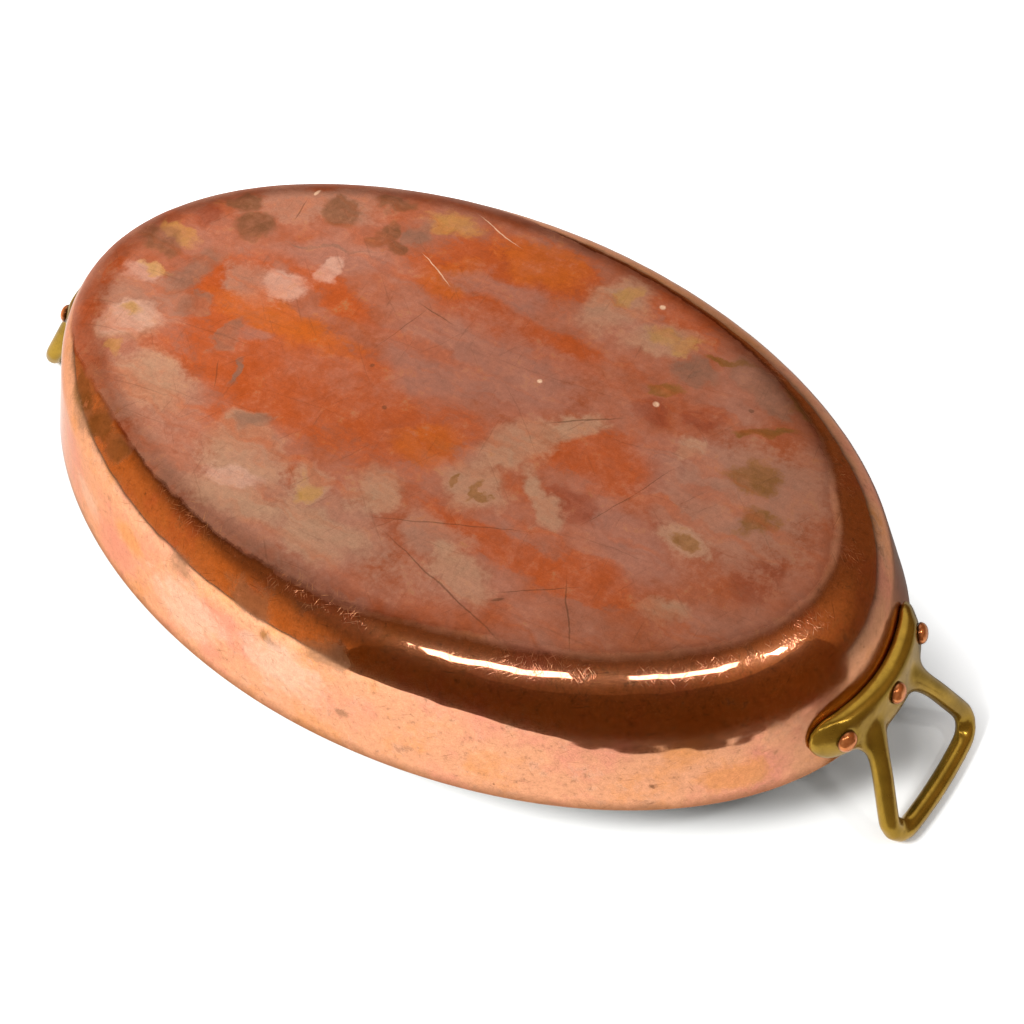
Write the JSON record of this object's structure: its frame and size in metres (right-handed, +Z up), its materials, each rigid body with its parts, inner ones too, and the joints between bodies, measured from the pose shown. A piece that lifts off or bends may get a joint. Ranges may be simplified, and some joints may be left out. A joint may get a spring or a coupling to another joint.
{
  "type": "gratin pan",
  "caption": "Oval copper gratin pan with flared sides, a wide rounded base edge, a tin-lined inside and a riveted cast brass loop handle at each end, lying upside down on its handles.",
  "frame": {"origin": "on the table, below the middle of the oval, at the level of the two handle loops that the pan stands on", "axes": "+X along the pan's long side to the right-hand handle, +Y across it, +Z up out of the base; the pan is stored upside down as it was pictured, and half a turn about X sets it right way up"},
  "size_m": [0.4584, 0.255, 0.0871],
  "materials": {
    "copper": "worn, lightly planished and unlacquered",
    "tin": "wiped hot tin, dull",
    "cast_brass": "cast, filed and aged",
    "rivet_copper": "worn smooth"
  },
  "bodies": {
    "root": {"pan_body": "copper", "tin_lining": "tin", "handle_right": "cast_brass", "handle_left": "cast_brass", "rivet_right_near": "rivet_copper", "rivet_right_middle": "rivet_copper", "rivet_right_far": "rivet_copper", "rivet_left_near": "rivet_copper", "rivet_left_middle": "rivet_copper", "rivet_left_far": "rivet_copper"}
  },
  "joints": []
}
